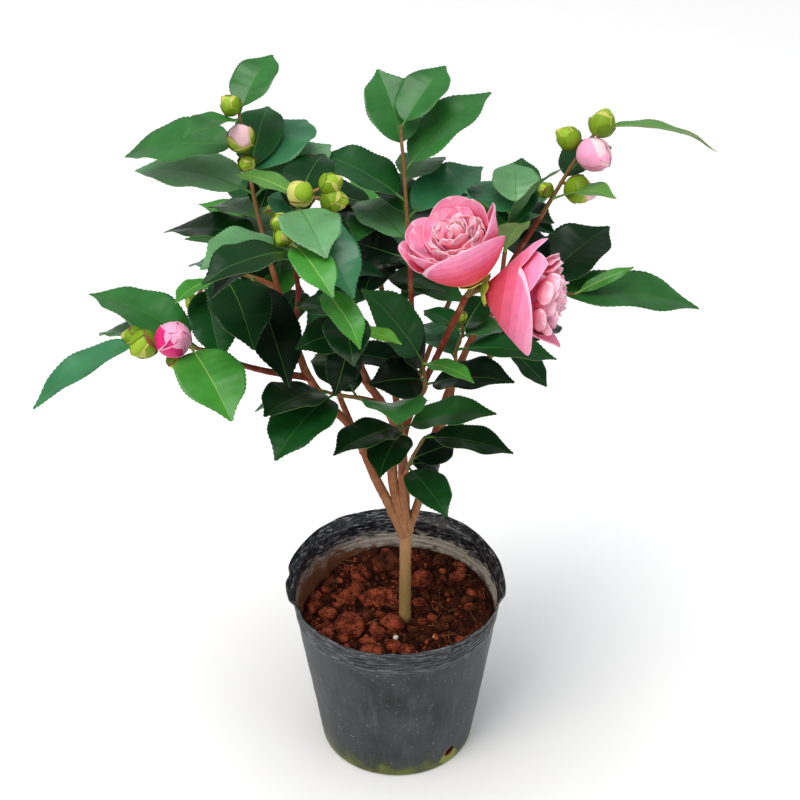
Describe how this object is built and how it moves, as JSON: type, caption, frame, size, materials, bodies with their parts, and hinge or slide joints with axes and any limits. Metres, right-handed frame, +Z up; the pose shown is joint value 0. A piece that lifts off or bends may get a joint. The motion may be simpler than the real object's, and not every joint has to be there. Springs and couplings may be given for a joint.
{
  "type": "potted camellia shrub",
  "caption": "Young camellia shrub with glossy leaves, round buds and open pink double flowers, growing in a thin tapered plastic nursery pot filled with potting mix.",
  "frame": {"origin": "centre of the flat underside of the pot, where the plant stands on the ground", "axes": "+Z up along the pot's centre line and the trunk; -Y is the side the open flowers face; +X is to the right seen from that side"},
  "size_m": [0.5032, 0.3049, 0.6059],
  "materials": {
    "pot_plastic": "weathered, satin",
    "potting_mix": "rough, moist",
    "trunk_bark": "dull bark",
    "bough_bark": "young bark, slightly shiny",
    "foliage": "glossy leaf",
    "bloom": "soft petal"
  },
  "bodies": {
    "root": {"pot": "pot_plastic", "soil": "potting_mix", "trunk": "trunk_bark", "left_bough": "bough_bark", "left_low_bough": "bough_bark", "low_left_spray": "foliage", "left_high_bough": "bough_bark", "left_inner_bough": "bough_bark", "inner_left_spray": "foliage", "left_outer_bough": "bough_bark", "left_outer_spray": "foliage", "top_left_spray": "foliage", "back_left_bough": "bough_bark", "back_left_spray": "foliage", "centre_bough": "bough_bark", "centre_front_bough": "bough_bark", "centre_front_spray": "foliage", "centre_low_bough": "bough_bark", "centre_low_spray": "foliage", "bloom_bough": "bough_bark", "leader_bough": "bough_bark", "top_spray": "foliage", "front_bough": "bough_bark", "front_spray": "foliage", "low_front_bough": "bough_bark", "low_front_spray": "foliage", "low_right_bough": "bough_bark", "low_right_spray": "foliage", "bloom_spray": "bloom", "right_bough": "bough_bark", "right_high_bough": "bough_bark", "top_right_spray": "foliage", "right_upper_bough": "bough_bark", "upper_right_spray": "foliage", "right_outer_bough": "bough_bark", "right_outer_spray": "foliage", "right_front_bough": "bough_bark", "right_front_spray": "foliage", "right_low_bough": "bough_bark", "right_low_spray": "foliage", "back_bough": "bough_bark", "back_right_bough": "bough_bark", "back_right_spray": "foliage", "back_spray": "foliage"}
  },
  "joints": []
}
